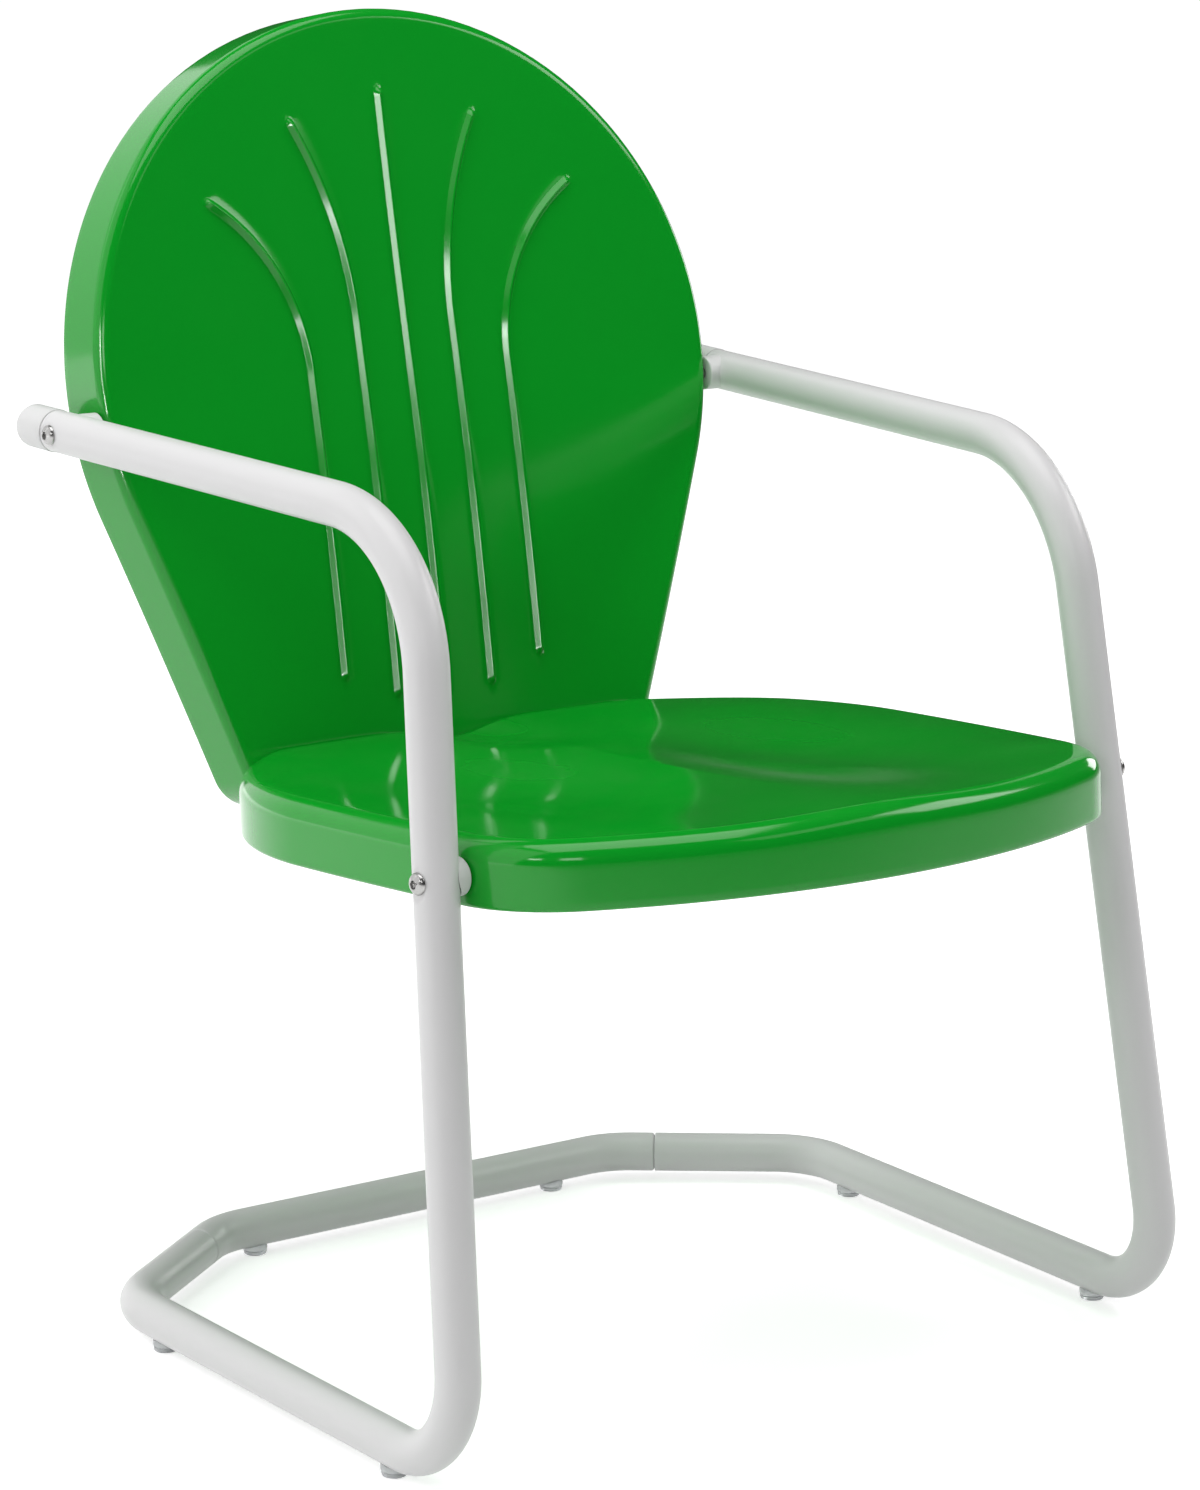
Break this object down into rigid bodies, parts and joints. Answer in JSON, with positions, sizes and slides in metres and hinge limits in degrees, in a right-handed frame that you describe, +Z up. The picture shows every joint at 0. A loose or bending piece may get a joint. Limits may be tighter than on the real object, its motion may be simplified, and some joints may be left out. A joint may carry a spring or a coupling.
{
  "type": "metal patio chair",
  "caption": "Retro metal patio armchair with a round-topped ribbed green back, a green pressed steel seat and a white bent-tube cantilever frame.",
  "frame": {"origin": "the middle of the bounding box on the floor, under the seat", "axes": "+Z up, -Y the way a sitter faces, +X to the picture's right, the sitter's left"},
  "size_m": [0.6084, 0.6501, 0.8718],
  "materials": {
    "green_enamel": "glossy powder-coat enamel on pressed steel sheet",
    "white_enamel": "satin powder-coat enamel on steel tube",
    "white_plastic": "moulded white plastic, satin",
    "clear_plastic": "clear grey moulded plastic",
    "stainless_steel": "bright socket-head screws",
    "zinc_steel": "zinc-plated hidden fasteners"
  },
  "bodies": {
    "root": {"left_side_frame": "white_enamel", "right_side_frame": "white_enamel", "rear_cross_tube": "white_enamel", "seat_shell": "green_enamel", "back_shell": "green_enamel", "left_arm_cap": "white_plastic", "right_arm_cap": "white_plastic", "left_arm_spacer": "white_plastic", "right_arm_spacer": "white_plastic", "left_seat_spacer": "white_plastic", "right_seat_spacer": "white_plastic", "left_arm_bolt": "stainless_steel", "right_arm_bolt": "stainless_steel", "left_seat_bolt": "stainless_steel", "right_seat_bolt": "stainless_steel", "arm_washers": "zinc_steel", "arm_nuts": "zinc_steel", "seat_washers": "zinc_steel", "seat_nuts": "zinc_steel", "back_bolts": "zinc_steel", "back_washers": "zinc_steel", "back_nuts": "zinc_steel", "left_front_glide": "clear_plastic", "right_front_glide": "clear_plastic", "left_rear_glide": "clear_plastic", "right_rear_glide": "clear_plastic", "left_cross_glide": "clear_plastic", "right_cross_glide": "clear_plastic"}
  },
  "joints": []
}
